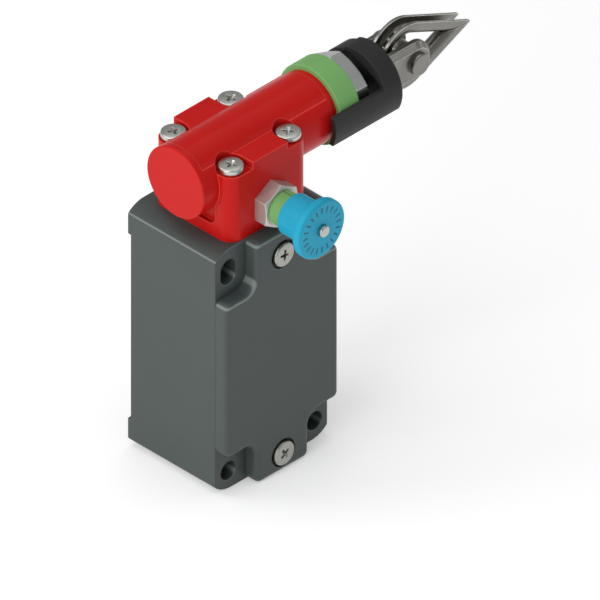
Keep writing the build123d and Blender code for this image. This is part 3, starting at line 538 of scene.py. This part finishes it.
def openScrewSeats():  # takes off the thin horns of casting between the tube and the four screw seats
    look = screwSeats
    head = mergedCopy("head", "headCasting")
    bushLow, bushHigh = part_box("guide_bush")
    tubeY, tubeZ = (bushLow.y + bushHigh.y) / 2, (bushLow.z + bushHigh.z) / 2
    bpy.ops.object.select_all(action="DESELECT")
    bpy.ops.mesh.primitive_cylinder_add(
        vertices=look["tubeSides"], radius=look["tubeR"], depth=look["tubeL"],
        location=(0, tubeY, tubeZ), rotation=(0, math.radians(90), 0))
    tube = bpy.context.object
    bpy.ops.object.transform_apply(location=True, rotation=True, scale=True)
    seat = headHigh.z - headScrew["sunk"] - headScrew["headT"]
    middleZ = seat + look["skin"] + look["high"] / 2
    for side in (-1, 1):
        for y in rows:
            towards = 1 if y < tubeY else -1
            x = side * (look["outside"] + look["inside"]) / 2
            bpy.ops.object.select_all(action="DESELECT")
            bpy.ops.mesh.primitive_cube_add(size=1, location=(x, y + towards * look["back"] / 2, middleZ))
            cutter = bpy.context.object
            cutter.scale = (look["outside"] - look["inside"], look["back"], look["high"])
            bpy.ops.object.transform_apply(location=True, rotation=True, scale=True)
            addModifier(cutter, "BOOLEAN", operation="DIFFERENCE", solver="EXACT", object=tube)
            addModifier(head, "BOOLEAN", operation="DIFFERENCE", solver="EXACT", object=cutter)
            bpy.data.objects.remove(cutter, do_unlink=True)
    bpy.data.objects.remove(tube, do_unlink=True)
    finishCopy(head, "head", "switch")


sleeveTurn = {"angle": 23.0, "axis": (0.0, 0.0, 0.074)}


def turnSleeve():
    look = sleeveTurn
    sleeve = mergedCopy("reset_sleeve", "splitSleeve")
    bpy.ops.object.mode_set(mode="EDIT")
    bpy.ops.mesh.select_all(action="SELECT")
    turn = math.radians(look["angle"])
    bpy.ops.transform.rotate(value=turn, orient_axis="Y", center_override=look["axis"])
    bpy.ops.object.mode_set(mode="OBJECT")
    finishCopy(sleeve, "reset_sleeve", "switch")


spacerWaist = {"rim": 0.0052, "size": 0.63}  # faces past rim from the axis are drawn in to size


def slimSpacer():  # the ring between pin and thimble, slim enough to see past
    look = spacerWaist
    low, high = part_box("pin_spacer")
    x, z = (low.x + high.x) / 2, (low.z + high.z) / 2
    spacer = mergedCopy("pin_spacer", "slimSpacer")
    pickFaces(spacer, lambda face: math.hypot(face.center.x - x, face.center.z - z) > look["rim"])
    bpy.ops.transform.resize(value=(look["size"], 1, look["size"]), center_override=(x, 0, z))
    bpy.ops.object.mode_set(mode="OBJECT")
    finishCopy(spacer, "pin_spacer", "rope_rod")


openScrewSeats()
turnSleeve()
slimSpacer()
print("screw seats opened, sleeve turned and spacer slimmed")


# Stage, lights and camera

stageLook = {
    "floorSize": 6.0, "gap": 0.00005, "colour": srgb(250, 250, 250), "roughLow": 0.85, "roughHigh": 0.9,
    "grainScale": 60, "glow": 0.3}


def makeFloor():
    look = stageLook
    low = cadBox[0].z - look["gap"]
    bpy.ops.object.select_all(action="DESELECT")
    bpy.ops.mesh.primitive_plane_add(size=look["floorSize"], location=(0, 0, low))
    floor = bpy.context.object
    floor.name = "studioFloor"
    finish, tree, shader = newFinish("studioPaper")
    grain = noiseAt(tree, objectPlace(tree), look["grainScale"])
    roughen(tree, shader, grain, 0.2, look)
    shader.inputs["Base Color"].default_value = look["colour"] + (1.0,)
    shader.inputs["Emission Color"].default_value = (1.0, 1.0, 1.0, 1.0)
    shader.inputs["Emission Strength"].default_value = look["glow"]
    floor.data.materials.append(finish)


lights = {  # place, size and power of each soft box, all turned to the middle of the object
    "leftKey": {"place": (-0.62, -0.10, 0.34), "size": (0.55, 0.55), "power": 2.2},
    "topFill": {"place": (0.05, 0.05, 0.75), "size": (0.8, 0.8), "power": 1.9},
    "frontFill": {"place": (0.25, -0.75, 0.30), "size": (0.7, 0.7), "power": 0.25},
    "edgeStrip": {"place": (-0.42, 0.42, 0.50), "size": (0.35, 0.16), "power": 0.8},
    "rightStrip": {"place": (0.70, -0.25, 0.14), "size": (0.1, 0.5), "power": 0.3},
    "glint": {"place": (0.42, -0.40, 0.46), "size": (0.14, 0.14), "power": 0.07},
}
skyStrength = 0.3


def makeLights():
    middle = (cadBox[0] + cadBox[1]) / 2
    for name, look in lights.items():
        data = bpy.data.lights.new(name, "AREA")
        data.shape = "RECTANGLE"
        data.size = look["size"][0]
        data.size_y = look["size"][1]
        data.energy = look["power"]
        lamp = bpy.data.objects.new(name, data)
        bpy.context.scene.collection.objects.link(lamp)
        lamp.location = look["place"]
        lamp.rotation_euler = (middle - lamp.location).to_track_quat("-Z", "Y").to_euler()
    world = bpy.data.worlds.new("studioAir")
    world.use_nodes = True
    sky = world.node_tree.nodes["Background"]
    sky.inputs["Color"].default_value = (1, 1, 1, 1)
    sky.inputs["Strength"].default_value = skyStrength
    bpy.context.scene.world = world


cameraLook = {  # width is what the frame shows, in metres: 600 photo pixels at 4050 to the metre
    "width": 600 / 4050, "target": (0.0150, -0.02556, 0.03404), "turn": -45.0, "tilt": 54.736, "away": 0.6}


def makeCamera():
    look = cameraLook
    data = bpy.data.cameras.new("photoCamera")
    data.type = "ORTHO"
    data.ortho_scale = look["width"]
    camera = bpy.data.objects.new("photoCamera", data)
    bpy.context.scene.collection.objects.link(camera)
    camera.rotation_euler = (math.radians(look["tilt"]), 0, math.radians(look["turn"]))
    turned = camera.rotation_euler.to_matrix()
    camera.location = Vector(look["target"]) + turned @ Vector((0, 0, look["away"]))
    bpy.context.scene.camera = camera


makeFloor()
makeLights()
makeCamera()
bpy.context.scene.view_settings.view_transform = "Standard"
print("stage, lights and camera set")
